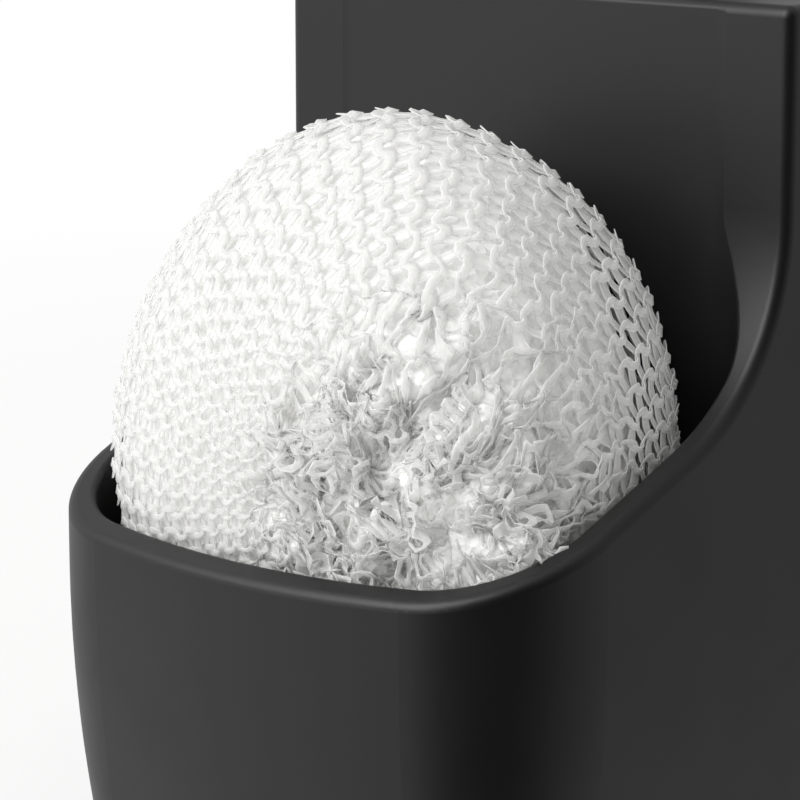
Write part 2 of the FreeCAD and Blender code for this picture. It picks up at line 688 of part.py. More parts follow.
def make_head():
    """Pressed and turned head: plastic core on the stem, metal shell over it, spout through both."""
    stem_hole = f"({STEM} + Sizes.press_gap)"
    sleeve_hole = f"({SLEEVE} + Sizes.press_gap)"
    sleeve_top = f"({CORE_BASE} + Sizes.sleeve_socket)"
    riser = "(Sizes.stem_bore / 2)"
    riser_top = f"({SPOUT} + Sizes.spout_bore)"
    core = turned_piece("head_core", [
        (sleeve_hole, CORE_BASE), (CORE, CORE_BASE), (CORE, CORE_TOP), ("0", CORE_TOP),
        ("0", riser_top), (riser, riser_top), (riser, STEM_TOP), (stem_hole, STEM_TOP),
        (stem_hole, sleeve_top), (sleeve_hole, sleeve_top),
    ])
    channel = new_sketch(core, "channel_plan", "XZ_Plane")
    draw_circle(channel, "0", SPOUT, CHANNEL)
    cut(core, "channel", channel, "Sizes.spout_root", along_normal=True)
    seat = new_sketch(core, "spout_seat_plan", "XZ_Plane", "Sizes.spout_root")
    draw_circle(seat, "0", SPOUT, SPOUT_HOLE)
    cut(core, "spout_seat", seat, CORE, along_normal=True)

    inner = f"({HEAD} - Sizes.head_wall)"
    shell = new_body("head_shell", on_pump_axis=True)
    drum = new_sketch(shell, "drum_plan", "XY_Plane", HEAD_BASE)
    draw_circle(drum, "0", "0", HEAD)
    pad(shell, "drum", drum, "Sizes.head_height")
    rounding = edges_at(shell, value(HEAD_TOP))
    round_edges(shell, "head_rounding", rounding, "min(Sizes.head_round; Sizes.head_wall * 2.2)")
    hollow = new_sketch(shell, "hollow_plan", "XY_Plane", CORE_TOP)
    draw_circle(hollow, "0", "0", inner)
    cut(shell, "hollow", hollow, f"{CORE_TOP} - {HEAD_BASE}")
    opening = new_sketch(shell, "spout_opening_plan", "XZ_Plane")
    draw_circle(opening, "0", SPOUT, SPOUT_HOLE)
    cut(shell, "spout_opening", opening, f"{HEAD} + Sizes.overcut", along_normal=True)
    return [core, shell]


def make_spout():
    """Bent tube from its seat in the core out over the pocket, drooping at its tip."""
    body = new_body("spout", on_pump_axis=True)
    body.setExpression("Placement.Base.z", SPOUT)
    droop = math.radians(value("Sizes.spout_droop"))
    bend = value("Sizes.spout_bend")
    tip = value("Sizes.spout_tip")
    root = value("-Sizes.spout_root")
    bend_y = value("-Sizes.spout_reach") + tip * math.cos(droop) + bend * math.sin(droop)
    end_y = bend_y - bend * math.sin(droop)
    end_z = -bend * (1 - math.cos(droop))
    tip_point = Vector(end_y - tip * math.cos(droop), end_z - tip * math.sin(droop), 0)
    centre = Vector(bend_y, -bend, 0)
    path = new_sketch(body, "spout_path", "YZ_Plane")
    path.addGeometry([
        Part.LineSegment(Vector(root, 0, 0), Vector(bend_y, 0, 0)),
        Part.ArcOfCircle(Part.Circle(centre, Vector(0, 0, 1), bend), math.pi / 2, math.pi / 2 + droop),
        Part.LineSegment(Vector(end_y, end_z, 0), tip_point),
    ])
    for index in (0, 1):
        path.addConstraint(Sketcher.Constraint("Tangent", index, 2, index + 1, 1))
    path.addConstraint(Sketcher.Constraint("PointOnObject", 0, 1, -1))
    path.addConstraint(Sketcher.Constraint("Horizontal", 0))
    bind(path, "DistanceX", (0, 1), "-Sizes.spout_root")
    bind(path, "Radius", (1,), "Sizes.spout_bend")
    bind(path, "Distance", (2,), "Sizes.spout_tip")
    bind(path, "DistanceX", (2, 2), "-Sizes.spout_reach")
    bind(path, "Angle", (2,), "(180 + Sizes.spout_droop)")
    ring = new_sketch(body, "spout_section", "XZ_Plane", "Sizes.spout_root")
    draw_circle(ring, "0", "0", "Sizes.spout_diameter / 2")
    draw_circle(ring, "0", "0", "Sizes.spout_bore / 2")
    doc.recompute()
    pipe = body.newObject("PartDesign::AdditivePipe", "spout_pipe")
    pipe.Profile = ring
    pipe.Spine = path
    doc.recompute()
    return body


def make_scrubber():
    """Gathered mesh bun, standing on edge with a cup at each gathered pole, and the tie through its middle."""
    middle = Vector(0, value(f"{FACE} - Sizes.pad_wall_gap - {PAD_THROUGH} / 2"),
                    value(f"{FLOOR} + Sizes.pad_clearance + Sizes.pad_height / 2"))

    # The bun is drawn with a radius of one, then stretched to the room that the pocket leaves it
    lobe = 1 - PAD_FLAT_SHARE
    front, back = Vector(PAD_FLAT_SHARE, -lobe, 0), Vector(PAD_FLAT_SHARE, lobe, 0)
    front_pole, back_pole = Vector(0, -lobe, 0), Vector(0, lobe, 0)
    section = Part.Wire([
        Part.LineSegment(front_pole, front).toShape(),
        Part.Arc(front, Vector(1, 0, 0), back).toShape(),
        Part.LineSegment(back, back_pole).toShape(),
        Part.LineSegment(back_pole, front_pole).toShape(),
    ])
    stretch = FreeCAD.Matrix()
    stretch.scale(value(PAD_ACROSS) / 2, value(PAD_THROUGH) / 2 / lobe, value("Sizes.pad_height") / 2)
    bun = Part.Face(section).revolve(Vector(), Vector(0, 1, 0), 360).transformGeometry(stretch)

    # The tie leaves the bun at its gathered poles, each at the bottom of a cup
    pole = FreeCAD.Rotation(Vector(0, 0, 1), value("Sizes.pad_angle")).multVec(Vector(0, -1, 0))
    reach = value(PAD_ACROSS) + value(PAD_THROUGH)
    chord = Part.LineSegment(pole * -reach, pole * reach).toShape().common(bun).Length
    clearance = value("Sizes.pad_clearance")
    cup_radius, cup_floor = value("Sizes.cup_radius"), chord / 2 - value("Sizes.cup_depth")
    tie_radius, knot_radius = value("Sizes.tie_diameter") / 2, value("Sizes.knot_diameter") / 2
    seat = cup_floor + cup_radius - math.sqrt(cup_radius ** 2 - knot_radius ** 2) + clearance
    hollow = [Part.makeCylinder(tie_radius + clearance, 2 * reach, pole * -reach, pole)]
    tie_rod = Part.makeCylinder(tie_radius, 2 * seat, pole * -seat, pole)
    knots = []
    for out in (pole, pole * -1):
        hollow.append(Part.makeSphere(cup_radius, out * (cup_floor + cup_radius)))
        knots.append(Part.makeCylinder(knot_radius, value("Sizes.knot_length"), out * seat, out))

    pieces = []
    for label, shape in (("scrubber_pad", bun.cut(hollow)), ("scrubber_tie", tie_rod.fuse(knots))):
        piece = doc.addObject("Part::Feature", label)
        piece.Label = label
        piece.Shape = shape
        piece.Placement.Base = middle
        pieces.append(piece)
    return pieces


def build():
    """All sub-parts of the caddy."""
    pieces = [make_caddy_body(), *make_feet(), make_neck_ring(), *make_collar(), make_gasket()]
    pieces += [make_barrel(), make_guide(), *make_plunger(), make_spring(), make_ball(), make_dip_tube()]
    pieces += [*make_head(), make_spout(), *make_scrubber()]
    doc.recompute()
    return pieces


def check(pieces):
    """Stop if a feature failed or a sub-part isn't one valid solid."""
    for item in doc.Objects:
        if {"Invalid", "Error"} & set(item.State):
            raise RuntimeError(f"{item.Name} failed: {item.State}")
    for piece in pieces:
        shape = piece.Shape
        if shape.isNull() or not shape.isValid() or len(shape.Solids) != 1:
            raise RuntimeError(f"{piece.Label} isn't one valid solid")


def export(pieces):
    """One STEP file for each sub-part, named by its label."""
    os.makedirs("parts", exist_ok=True)
    for piece in pieces:
        piece.Shape.exportStep(os.path.join("parts", f"{piece.Label}.step"))


sub_parts = build()
check(sub_parts)
export(sub_parts)
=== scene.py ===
import math

import bmesh
import bpy
import numpy as np
from mathutils import Matrix, Vector


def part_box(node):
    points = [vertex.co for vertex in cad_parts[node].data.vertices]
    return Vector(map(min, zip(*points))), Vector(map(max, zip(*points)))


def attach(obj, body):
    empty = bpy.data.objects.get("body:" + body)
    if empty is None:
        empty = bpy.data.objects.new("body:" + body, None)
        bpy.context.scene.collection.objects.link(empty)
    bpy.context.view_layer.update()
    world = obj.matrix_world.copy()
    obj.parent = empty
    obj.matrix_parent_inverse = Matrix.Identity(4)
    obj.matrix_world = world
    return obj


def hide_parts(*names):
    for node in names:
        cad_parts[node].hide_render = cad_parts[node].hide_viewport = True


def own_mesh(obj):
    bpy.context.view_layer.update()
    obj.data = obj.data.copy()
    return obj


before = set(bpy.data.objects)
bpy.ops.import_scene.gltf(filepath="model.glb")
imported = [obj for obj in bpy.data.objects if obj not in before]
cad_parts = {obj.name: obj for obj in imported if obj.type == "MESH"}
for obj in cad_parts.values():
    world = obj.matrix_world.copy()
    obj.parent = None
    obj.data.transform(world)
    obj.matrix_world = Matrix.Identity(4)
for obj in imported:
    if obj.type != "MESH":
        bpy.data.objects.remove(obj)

bl_info = {
    "name": "Soap pump caddy",
    "version": (1, 0, 0),
    "blender": (4, 5, 0),
    "location": "View3D > Sidebar > Caddy",
    "description": "Glaze, pump finishes, knitted scrubber and studio for the packed caddy",
    "category": "Object",
}

MM = 0.001
WHITE = (1.0, 1.0, 1.0, 1.0)
GOLDEN_ANGLE = math.radians(137.508)
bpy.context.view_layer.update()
PAD_LOW, PAD_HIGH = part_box("scrubber_pad")
SPRING_LOW, SPRING_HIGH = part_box("return_spring")
TIE_LOW, TIE_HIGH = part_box("scrubber_tie")


def linear(hex_colour):
    """Linear RGBA of an sRGB hex colour."""
    shares = [int(hex_colour[place:place + 2], 16) / 255 for place in (1, 3, 5)]
    return tuple(s / 12.92 if s <= 0.04045 else ((s + 0.055) / 1.055) ** 2.4 for s in shares) + (1.0,)


def colour(name, description, hex_colour):
    """Colour that the user can change."""
    return bpy.props.FloatVectorProperty(
        name=name, description=description, subtype="COLOR", size=4, min=0.0, max=1.0,
        default=linear(hex_colour))


def length(name, description, millimetres):
    """Length that the user can change."""
    return bpy.props.FloatProperty(
        name=name, description=description, unit="LENGTH", precision=5, default=millimetres * MM)


def angle(name, description, degrees):
    """Angle that the user can change."""
    return bpy.props.FloatProperty(
        name=name, description=description, subtype="ANGLE", default=math.radians(degrees))


def number(name, description, default, least):
    """Count that the user can change."""
    return bpy.props.IntProperty(name=name, description=description, default=default, min=least)


def point(name, description, default):
    """Place that the user can change."""
    return bpy.props.FloatVectorProperty(
        name=name, description=description, subtype="TRANSLATION", unit="LENGTH", default=default)


class CaddyFinish(bpy.types.PropertyGroup):
    """Colours of the ceramic, the feet and the pump, and the wire of its spring."""

    glaze: colour("Glaze", "Matte black glaze of the ceramic body", "#0b0b0c")
    foot_rubber: colour("Feet", "Rubber of the four feet", "#1b1b1c")
    neck_plastic: colour("Black plastic", "Neck, collar liner and head core", "#161617")
    pump_plastic: colour("Pump plastic", "Barrel, guide and plunger", "#e4e5e1")
    tube_plastic: colour("Tube plastic", "Dip tube", "#e9ebe8")
    seal_rubber: colour("Seals", "Gasket and piston", "#c9c8c0")
    satin_steel: colour("Satin steel", "Collar, head, spout and sleeve", "#c8c7c4")
    spring_steel: colour("Spring steel", "Return spring and ball", "#b9b9b8")
    spring_wire: length("Spring wire", "Thickness of the return spring's wire", 0.9)
    spring_turns: bpy.props.FloatProperty(
        name="Spring turns", description="Turns of the return spring", default=8.0)
    pump_stroke: length("Stroke", "How far the head goes down", 16.0)


class CaddyScrubber(bpy.types.PropertyGroup):
    """Sizes and colours of the knitted scrubber."""

    courses: number("Courses", "Ribbons side by side round the bun", 64, 24)
    stitches: number("Stitches", "Stitches of a ribbon from the gather to the widest part", 13, 4)
    ribbon_width: length("Ribbon width", "Width of the flat nylon ribbon", 1.2)
    ribbon_thickness: length("Ribbon thickness", "Thickness of the ribbon", 0.14)
    gather_turn: angle("Gather turn", "Way that the gathered pole faces, from the front to the right", 41.0)
    gather_start: angle("Gather", "Angle from the pole inside which the mesh is only crumpled", 16.0)
    fold_depth: length("Fold depth", "How far the crumples of the gather stand out", 1.3)
    puffs: number("Puffs", "Crumpled bits of mesh over the front gather", 58, 10)
    film: colour("Ribbon", "White nylon film, face of the ribbon", "#f8f8f6")
    # The ribbon's edges are a shade whiter than its face: a painted highlight along the edges
    film_edge_and_highlight: colour("Ribbon edge", "White nylon film, edges of the ribbon", "#fefefe")
    thread_width: length("Thread", "Thickness of one strand of the tie", 1.2)


class CaddyStage(bpy.types.PropertyGroup):
    """Camera, lamp, air and floor."""

    eye: point("Eye", "Place of the camera", (0.29188, -0.34830, 0.15216))
    aim: point("Aim", "Point at the middle of the picture", (-0.00116, -0.02002, 0.06358))
    focal_length: bpy.props.FloatProperty(
        name="Focal length", description="Lens of the camera", unit="CAMERA", default=151.12)
    key_power: bpy.props.FloatProperty(
        name="Key", description="Soft lamp at the upper left", unit="POWER", default=9.0)
    air_strength: bpy.props.FloatProperty(
        name="Air", description="Even light from all round", default=0.6, min=0.0)
    floor: colour("Floor", "Pale floor", "#f4f4f3")


def add_node(tree, kind, inputs=None, **settings):
    """Node with its settings, whose inputs take a value or the socket that feeds them."""
    node = tree.nodes.new(kind)
    for name, setting in settings.items():
        setattr(node, name, setting)
    for name, source in (inputs or {}).items():
        if isinstance(source, bpy.types.NodeSocket):
            tree.links.new(source, node.inputs[name])
        else:
            node.inputs[name].default_value = source
    return node


def object_place(tree):
    """Socket with the place on the object, in metres."""
    return add_node(tree, "ShaderNodeTexCoord").outputs["Object"]


def noise(tree, place, size, detail=2.0):
    """Socket with noise whose clouds are about as wide as size."""
    node = add_node(tree, "ShaderNodeTexNoise", {"Vector": place, "Scale": 1 / size, "Detail": detail})
    return node.outputs["Fac"]


def remap(tree, value, low, high, ends=(0.0, 1.0), **settings):
    """Socket that runs from low to high while value runs between its ends."""
    node = add_node(tree, "ShaderNodeMapRange", {
        "Value": value, "From Min": ends[0], "From Max": ends[1], "To Min": low, "To Max": high}, **settings)
    return node.outputs["Result"]


def relief(tree, height, strength, distance):
    """Normal socket of a fine relief."""
    node = add_node(tree, "ShaderNodeBump", {"Height": height, "Strength": strength, "Distance": distance})
    return node.outputs["Normal"]


def blend(tree, share, first, second):
    """Shader that goes from the first to the second with share."""
    return add_node(tree, "ShaderNodeMixShader", {
        "Fac": share, 1: first.outputs[0], 2: second.outputs[0]})


def new_material(name):
    """Empty node material and its tree."""
    material = bpy.data.materials.new(name)
    material.use_nodes = True
    material.node_tree.nodes.clear()
    return material, material.node_tree


def close_material(tree, shader):
    """Sends a shader to the surface."""
    add_node(tree, "ShaderNodeOutputMaterial", {"Surface": shader.outputs[0]})


def dress(material, *nodes):
    """Gives CAD nodes one material."""
    for name in nodes:
        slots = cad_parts[name].data.materials
        slots.clear()
        slots.append(material)


def new_piece(name, mesh, material, body, slot, *nodes):
    """Finished piece that rides on a body and stands for CAD nodes."""
    piece = bpy.data.objects.new(name, mesh)
    bpy.context.scene.collection.objects.link(piece)
    mesh.materials.clear()
    mesh.materials.append(material)
    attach(piece, body)
    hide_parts(*nodes)
    return piece


def black_glaze(settings):
    """Stoneware under a matte black glaze: fired to a soft eggshell that spreads every reflection."""
    material, tree = new_material("matte_black_glaze")
    place = object_place(tree)
    # Clouds of 14 mm where the glaze lay thicker and came out a little smoother
    cloud = noise(tree, place, 14 * MM, detail=3.0)
    # Eggshell grain of 0.5 mm
    grain = noise(tree, place, 0.5 * MM)
    shader = add_node(tree, "ShaderNodeBsdfPrincipled", {
        "Base Color": settings.glaze, "IOR": 1.5,
        "Roughness": remap(tree, cloud, 0.40, 0.47, ends=(0.3, 0.7)),
        "Normal": relief(tree, grain, strength=0.12, distance=0.05 * MM)})
    close_material(tree, shader)
    return material


def moulded(name, base, roughness, texture):
    """Moulded plastic or rubber: even, with the faint texture that the tool leaves."""
    material, tree = new_material(name)
    spread = 0.05
    grain = noise(tree, object_place(tree), texture)
    shader = add_node(tree, "ShaderNodeBsdfPrincipled", {
        "Base Color": base, "IOR": 1.5,
        "Roughness": remap(tree, grain, roughness - spread, roughness + spread),
        "Normal": relief(tree, grain, strength=0.1, distance=0.05 * MM)})
    close_material(tree, shader)
    return material


def turned_steel(name, base, roughness):
    """Stainless steel, turned and brushed round its axis: fine rings that draw the light out."""
    material, tree = new_material(name)
    spread = 0.06
    # Brush lines of 0.25 mm, drawn coarser than real so that they show
    line_width = 0.25 * MM
    line_length = 6 * MM
    rings = add_node(tree, "ShaderNodeMapping", {
        "Vector": object_place(tree), "Scale": (1 / line_length, 1 / line_length, 1 / line_width)})
    lines = noise(tree, rings.outputs["Vector"], 1.0)
    shader = add_node(tree, "ShaderNodeBsdfPrincipled", {
        "Base Color": base, "Metallic": 1.0,
        "Roughness": remap(tree, lines, roughness - spread, roughness + spread),
        "Normal": relief(tree, lines, strength=0.15, distance=0.02 * MM)})
    close_material(tree, shader)
    return material


def nylon_film(settings):
    """White nylon film slit to a ribbon: milky faces that let light through, and edges that glow with a
    painted highlight, a shade whiter than the face.
    """
    material, tree = new_material("white_nylon_film")
    across = add_node(tree, "ShaderNodeAttribute", attribute_name="across").outputs["Fac"]
    side = add_node(tree, "ShaderNodeMath", {0: across}, operation="ABSOLUTE").outputs[0]
    edge = remap(tree, side, 0.0, 1.0, ends=(0.5, 1.0))
    # Colour of the film, a shade whiter towards the edges of the ribbon: a painted highlight
    tint_with_edge_highlight = add_node(tree, "ShaderNodeMix", {
        "Factor": edge, 6: settings.film, 7: settings.film_edge_and_highlight}, data_type="RGBA").outputs[2]
    face = add_node(tree, "ShaderNodeBsdfPrincipled", {"Base Color": tint_with_edge_highlight, "Roughness": 0.32, "IOR": 1.53})
    glow = add_node(tree, "ShaderNodeBsdfTranslucent", {"Color": tint_with_edge_highlight})
    milky = 0.4
    # The thin faces let half of the light straight through, the rolled edges hardly any
    clear = remap(tree, edge, 0.5, 0.1)
    through = add_node(tree, "ShaderNodeBsdfTransparent")
    close_material(tree, blend(tree, clear, blend(tree, milky, face, glow), through))
    return material


def nylon_bulk(settings):
    """Inner folds of the mesh, too dense to see single stitches: a dull white mass."""
    material, tree = new_material("white_nylon_folds")
    # Crumbs of 1.2 mm, about the width of the ribbon
    crumbs = add_node(tree, "ShaderNodeTexVoronoi", {"Vector": object_place(tree), "Scale": 1 / (1.2 * MM)})
    shader = add_node(tree, "ShaderNodeBsdfPrincipled", {
        "Base Color": settings.film, "Roughness": 0.8, "IOR": 1.53,
        "Normal": relief(tree, crumbs.outputs["Distance"], strength=0.8, distance=0.6 * MM)})
    close_material(tree, shader)
    return material


def close_form(form, name):
    """Smooth mesh of a finished form."""
    mesh = bpy.data.meshes.new(name)
    form.to_mesh(mesh)
    form.free()
    mesh.polygons.foreach_set("use_smooth", np.ones(len(mesh.polygons), bool))
    return mesh


def mesh_points(mesh):
    """Places of a mesh's vertices."""
    flat = np.empty(len(mesh.vertices) * 3, np.float32)
    mesh.vertices.foreach_get("co", flat)
    return flat.reshape(-1, 3).astype(float)


def move_points(mesh, points):
    """Puts a mesh's vertices at new places."""
    mesh.vertices.foreach_set("co", points.astype(np.float32).ravel())
    mesh.update()


def stitch_mesh(wale, course, settings, stations):
    """Ribbon of one jersey stitch, open at both ends, from x 0 to the width of a wale."""
    # The loop passes into the courses beside it, swings past its own wale and rides over its neighbours
    rise = 0.70 * course
    swing = 0.16 * wale
    lift = 0.30 * MM
    # The ribbon lies nearly flat along the legs of the loop and rolls at its head and foot
    leg_lean = 8
    head_roll = 10
    nudge = 0.01

    def path(t):
        return Vector((wale * t / math.tau + swing * math.sin(2 * t),
                       -rise * math.cos(t), lift * math.cos(2 * t)))

    form = bmesh.new()
    across = form.verts.layers.float.new("across")
    bmesh.ops.create_grid(form, x_segments=1, y_segments=1, size=1.0)
    form.faces.ensure_lookup_table()
    end = form.faces[0]
    half = settings.ribbon_width / 2
    thin = settings.ribbon_thickness / 2
    corners = [(vert.co.x, vert.co.y) for vert in end.verts]
    for count, t in enumerate(np.linspace(0, math.tau, stations + 1)):
        if count:
            end = bmesh.ops.extrude_discrete_faces(form, faces=[end])["faces"][0]
        along = (path(t + nudge) - path(t - nudge)).normalized()
        level = Vector((0, 0, 1)).cross(along).normalized()
        lean = Matrix.Rotation(math.radians(leg_lean + head_roll * math.cos(t) ** 2), 3, along)
        sideways = lean @ level
        outwards = along.cross(sideways)
        for vert, (wide, high) in zip(end.verts, corners):
            vert.co = path(t) + sideways * (wide * half) + outwards * (high * thin)
            vert[across] = wide
    bmesh.ops.delete(form, geom=[end], context="FACES_ONLY")
    return close_form(form, "ribbon_stitch")


def knit_sheet(name, stitch, wale, course, wales, courses):
    """Flat knit: the stitch repeated along a course, and the course repeated."""
    draft = bpy.data.objects.new(name, stitch)
    bpy.context.scene.collection.objects.link(draft)
    for count, step in ((wales, (wale, 0, 0)), (courses, (0, course, 0))):
        row = draft.modifiers.new("repeat", "ARRAY")
        row.use_relative_offset = False
        row.use_constant_offset = True
        row.constant_offset_displace = step
        row.count = count
        row.use_merge_vertices = step[0] > 0
        row.merge_threshold = 0.01 * MM
    mesh = bpy.data.meshes.new_from_object(draft.evaluated_get(bpy.context.evaluated_depsgraph_get()))
    bpy.data.objects.remove(draft)
    mesh.name = name
    return mesh


def ripple(points, seed, longest, shortest, waves=28):
    """Smooth random field over points: sine waves of seeded directions and lengths."""
    dice = np.random.default_rng(seed)
    total = np.zeros(len(points))
    for _ in range(waves):
        direction = dice.normal(size=3)
        direction /= np.linalg.norm(direction)
        wavelength = longest * (shortest / longest) ** dice.random()
        total += np.sin(points @ direction * (math.tau / wavelength) + dice.random() * math.tau)
    # The spread of the field is 1, however many waves it has
    return total / math.sqrt(waves / 2)


def smooth_step(low, high, values):
    """Rise from 0 at low to 1 at high with level ends."""
    share = np.clip((values - low) / (high - low), 0, 1)
    return share * share * (3 - 2 * share)


def from_pole(tilt):
    """Angle from the nearer pole of the bun."""
    return np.minimum(tilt, math.pi - tilt)


def past_pole(tilt, low, high):
    """Rise from 0 within low degrees of a pole to 1 beyond high degrees."""
    return smooth_step(math.radians(low), math.radians(high), from_pole(tilt))


def unit_rows(vectors):
    """Vectors brought to length 1."""
    return vectors / np.maximum(np.linalg.norm(vectors, axis=1), 1e-12)[:, None]


class Bun:
    """Outer form of the scrubber, met by rays from its middle."""

    radius = 40 * MM
    plan_power = 3
    crown_rise = 1.5 * MM
    crown_lean = 2 * MM
    # The walls of the pocket hold the mesh up to a height and leave it free above another
    held_height = 45 * MM
    free_height = 56 * MM
    wall_give = 0.12
    # Relief of the mesh: crumples deep in the gather and shallow beyond, wrinkles, a slow swell, a dimple
    crumple_waves = {"seed": 2, "longest": 15 * MM, "shortest": 6 * MM}
    swell_waves = {"seed": 3, "longest": 60 * MM, "shortest": 25 * MM, "waves": 12}
    wrinkle_waves = {"seed": 4, "longest": 6 * MM, "shortest": 2.5 * MM}
    gather_sink = 0.4 * MM
    knit_crumple = 0.15 * MM
    wrinkle_depth = 0.35 * MM
    swell_depth = 0.35 * MM
    dimple_depth = 1.2 * MM
    dimple_angle = math.radians(12)
    # Stitches lie out of line, a little over the whole bun and much more towards the gather
    around_waves = {"seed": 5, "longest": 14 * MM, "shortest": 4 * MM}
    tilt_waves = {"seed": 6, "longest": 14 * MM, "shortest": 4 * MM}
    drift = 0.5 * MM
    drift_share = 0.3
    gather_drift_share = 2.4
    pole_gap = 0.05
    least_sine = 0.25

    def __init__(self, settings):
        self.middle = np.array((PAD_LOW + PAD_HIGH) / 2)
        self.half = np.array((PAD_HIGH - PAD_LOW) / 2)
        turn = settings.gather_turn
        self.pole = np.array((math.sin(turn), -math.cos(turn), 0.0))
        self.side = np.array((math.cos(turn), math.sin(turn), 0.0))
        self.up = np.array((0.0, 0.0, 1.0))
        self.fold_depth = settings.fold_depth

    def reach(self, rays):
        """Distance from the middle to a bun that is squarish from above and oval from the front."""
        plan = np.sum(np.abs(rays[:, :2] / self.half[:2]) ** self.plan_power, axis=1) ** (1 / self.plan_power)
        crown = self.half[2] + np.where(rays[:, 2] > 0, self.crown_rise, 0)
        return 1 / np.hypot(plan, rays[:, 2] / crown)

    def keep_clear(self, points):
        """Presses points back from the bottle, and from the walls of the pocket as far as these reach."""
        low = np.array(PAD_LOW)
        high = np.array(PAD_HIGH)
        # Over the walls the sides and the front are free, and the floor never is
        free = smooth_step(self.held_height, self.free_height, points[:, 2:3]) * (1, 1, 0)
        give = self.wall_give + (1 - self.wall_give) * free
        points = np.where(points < low, low + (points - low) * give, points)
        # The face of the bottle never gives way, and the top is always free
        give[:, 1:] = (self.wall_give, 1.0)
        return np.where(points > high, high + (points - high) * give, points)

    def surface(self, tilt, around, inset):
        """Points of the gathered mesh, tilt from the front pole and around it."""
        level = np.cos(around)[:, None] * self.side + np.sin(around)[:, None] * self.up
        rays = np.cos(tilt)[:, None] * self.pole + np.sin(tilt)[:, None] * level
        shell = rays * self.radius
        crumple = ripple(shell, **self.crumple_waves)
        gather = 1 - past_pole(tilt, 24, 50)
        wrinkle = ripple(shell, **self.wrinkle_waves) * (1 - past_pole(tilt, 30, 60))
        radius = self.reach(rays) - inset
        radius += gather * (self.fold_depth * crumple - self.gather_sink)
        radius += (1 - gather) * self.knit_crumple * crumple
        radius += self.wrinkle_depth * wrinkle + self.swell_depth * ripple(shell, **self.swell_waves)
        radius -= self.dimple_depth * np.exp(-(from_pole(tilt) / self.dimple_angle) ** 2)
        points = self.middle + rays * radius[:, None]
        # The crown leans to the right
        points[:, 0] += self.crown_lean * smooth_step(self.middle[2], PAD_HIGH[2], points[:, 2])
        return self.keep_clear(points)

    def surface_frame(self, tilt, around, inset, step):
        """Points of the mesh and its outward directions there, found with neighbours a step away."""
        here = self.surface(tilt, around, inset)
        down = self.surface(tilt + step, around, inset) - here
        across = self.surface(tilt, around + step, inset) - here
        return here, unit_rows(np.cross(down, across))

    def lay(self, flat, first, inset):
        """Points of a flat knit laid over the bun, its ribbons running from first towards the back pole."""
        around = flat[:, 1] / self.radius
        tilt = np.clip(first + flat[:, 0] / self.radius, self.pole_gap, math.pi - self.pole_gap)
        round_pole = np.c_[np.cos(around), np.sin(around)]
        shell = np.c_[np.cos(tilt), np.sin(tilt)[:, None] * round_pole] * self.radius
        loose = self.drift_share + self.gather_drift_share * (1 - past_pole(tilt, 30, 62))
        drift = self.drift * loose / self.radius
        ring = np.maximum(np.sin(tilt), self.least_sine)
        around = around + drift / ring * ripple(shell, **self.around_waves)
        tilt = tilt + drift * ripple(shell, **self.tilt_waves)
        here, outwards = self.surface_frame(tilt, around, inset, step=0.004)
        return self.keep_clear(here + outwards * flat[:, 2:3])


def knit_band(name, bun, settings, first):
    """Knit of half the bun, its ribbons running from the angle first towards the back pole."""
    inset = 1.0 * MM
    stations = 16
    wale = (math.pi / 2 - settings.gather_start) / settings.stitches * bun.radius
    course = math.tau / settings.courses * bun.radius
    stitch = stitch_mesh(wale, course, settings, stations)
    mesh = knit_sheet(name, stitch, wale, course, settings.stitches, settings.courses)
    move_points(mesh, bun.lay(mesh_points(mesh), first, inset))
    return mesh


def puff_patch(settings):
    """Small flat knit that is crumpled to a puff."""
    size = 4.2 * MM
    stations = 10
    rows = 4
    return knit_sheet("puff", stitch_mesh(size, size, settings, stations), size, size, rows, rows)


def gather_mesh(name, bun, patch, count, reach, at_back, seed):
    """Crumpled bits of mesh that cover a gather, each bent to a puff and turned its own way."""
    inset = 2.0 * MM
    lean = 0.3
    crumple = 0.45 * MM
    dice = np.random.default_rng(seed)
    base = mesh_points(patch)
    base -= (base.min(axis=0) + base.max(axis=0)) / 2
    faces = np.array([list(face.vertices) for face in patch.polygons])
    across = np.empty(len(base), np.float32)
    patch.attributes["across"].data.foreach_get("value", across)
    # Puffs are spread evenly over the cap, as seeds lie in a sunflower
    tilt = reach * np.sqrt((np.arange(count) + 0.5) / count)
    if at_back:
        tilt = math.pi - tilt
    around = np.arange(count) * GOLDEN_ANGLE
    places, outwards = bun.surface_frame(tilt, around, inset, step=0.03)
    outwards = unit_rows(outwards + lean * dice.normal(size=(count, 3)))
    along = unit_rows(np.cross(outwards, dice.normal(size=(count, 3))))
    turned = np.stack((along, np.cross(outwards, along), outwards), axis=1)
    # About half the size of the flat knit, and bent to radii of 7 to 14 mm both ways
    sizes = 0.46 + 0.20 * dice.random(count)
    bend = (7 + 7 * dice.random((count, 2))) * MM
    puffs = base[None] * sizes[:, None, None]
    puffs[:, :, 2] -= puffs[:, :, 0] ** 2 / bend[:, :1] / 2 + puffs[:, :, 1] ** 2 / bend[:, 1:] / 2
    points = (np.einsum("nvi,nij->nvj", puffs, turned) + places[:, None, :]).reshape(-1, 3)
    shifts = [ripple(points, seed + offset, 7 * MM, 2.5 * MM) for offset in (50, 60, 70)]
    points += crumple * np.stack(shifts, axis=1)
    corners = faces[None] + (np.arange(count) * len(base))[:, None, None]
    mesh = bpy.data.meshes.new(name)
    mesh.from_pydata(bun.keep_clear(points).tolist(), [], corners.reshape(-1, 4).tolist())
    mesh.attributes.new("across", "FLOAT", "POINT").data.foreach_set("value", np.tile(across, count))
    mesh.polygons.foreach_set("use_smooth", np.ones(len(mesh.polygons), bool))
    mesh.update()
    return mesh


